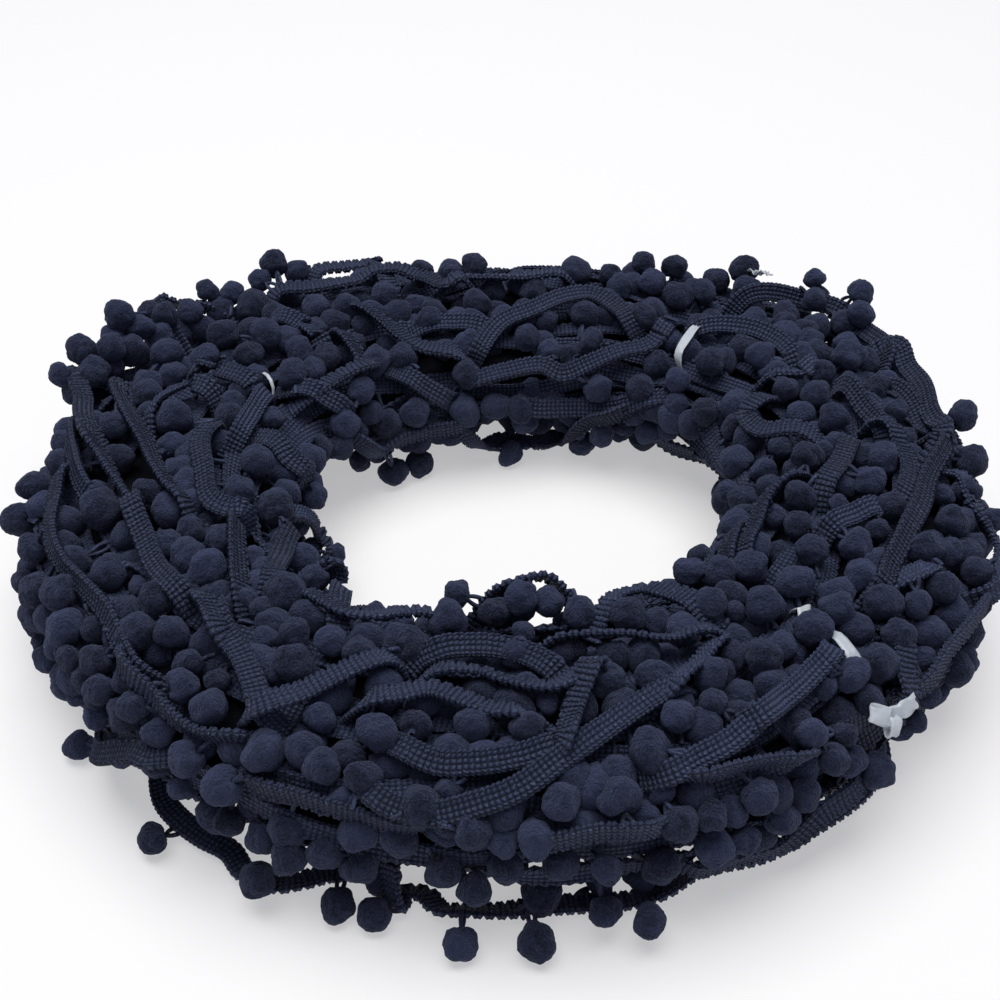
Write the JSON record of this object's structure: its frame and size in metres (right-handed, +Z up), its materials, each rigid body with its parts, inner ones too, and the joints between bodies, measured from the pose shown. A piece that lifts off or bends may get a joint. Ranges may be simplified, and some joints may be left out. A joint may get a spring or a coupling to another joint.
{
  "type": "pompom fringe trim",
  "caption": "Long braided trim edged with small pompoms, wound into a flat round hank and tied with clear plastic strips.",
  "frame": {"origin": "on the surface that the hank lies on, under the middle of its bounding box", "axes": "+Z up out of the surface, along the axis of the ring; +X to the right and +Y away from the picture's viewer"},
  "size_m": [0.3046, 0.274, 0.0596],
  "materials": {
    "yarn": "dark navy polyester braid with short-pile pompoms, matt",
    "clear_plastic": "thin translucent strip, soft gloss"
  },
  "bodies": {
    "root": {"hank": "yarn", "strip_back": "clear_plastic", "strip_front": "clear_plastic", "strip_left": "clear_plastic"}
  },
  "joints": []
}
